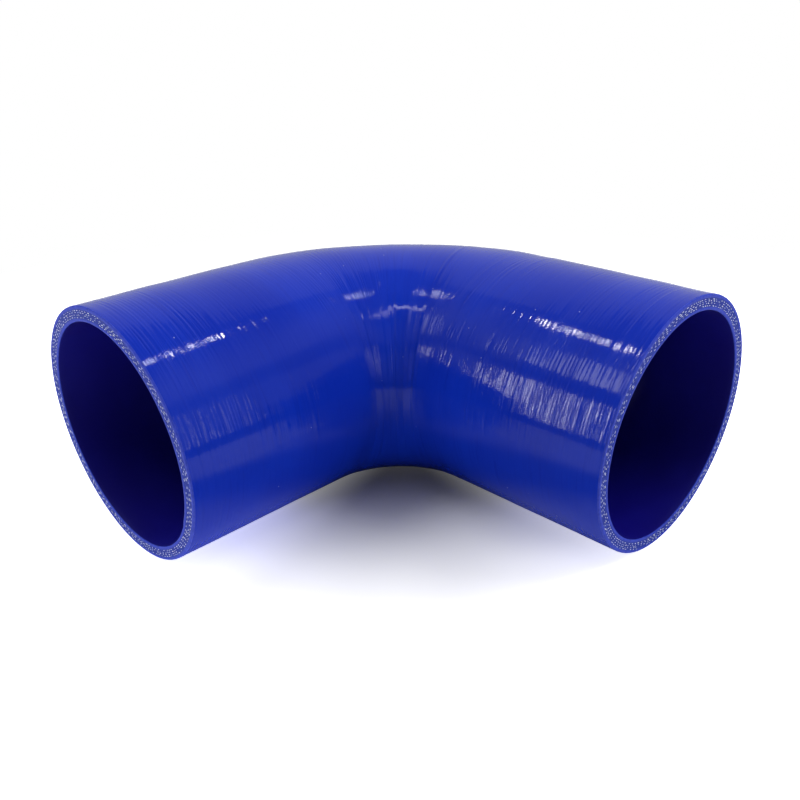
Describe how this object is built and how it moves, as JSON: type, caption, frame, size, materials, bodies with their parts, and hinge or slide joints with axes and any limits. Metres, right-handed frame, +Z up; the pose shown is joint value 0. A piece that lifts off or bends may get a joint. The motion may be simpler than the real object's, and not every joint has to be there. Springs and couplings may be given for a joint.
{
  "type": "silicone elbow hose",
  "caption": "Right-angle elbow of reinforced silicone hose with two plain round ends, for joining two pipes under clamps.",
  "frame": {"origin": "centre of the box around the hose, on the surface it lies on, with both legs in one level plane", "axes": "+X along leg A and out of its mouth, -Y along leg B and out of its mouth, +Z up and square to the plane of the bend"},
  "size_m": [0.168, 0.168, 0.086],
  "materials": {
    "blue_silicone": "glossy wrapped silicone with fine rings from the wrapping tape"
  },
  "bodies": {
    "root": {"elbow_hose": "blue_silicone"}
  },
  "joints": []
}
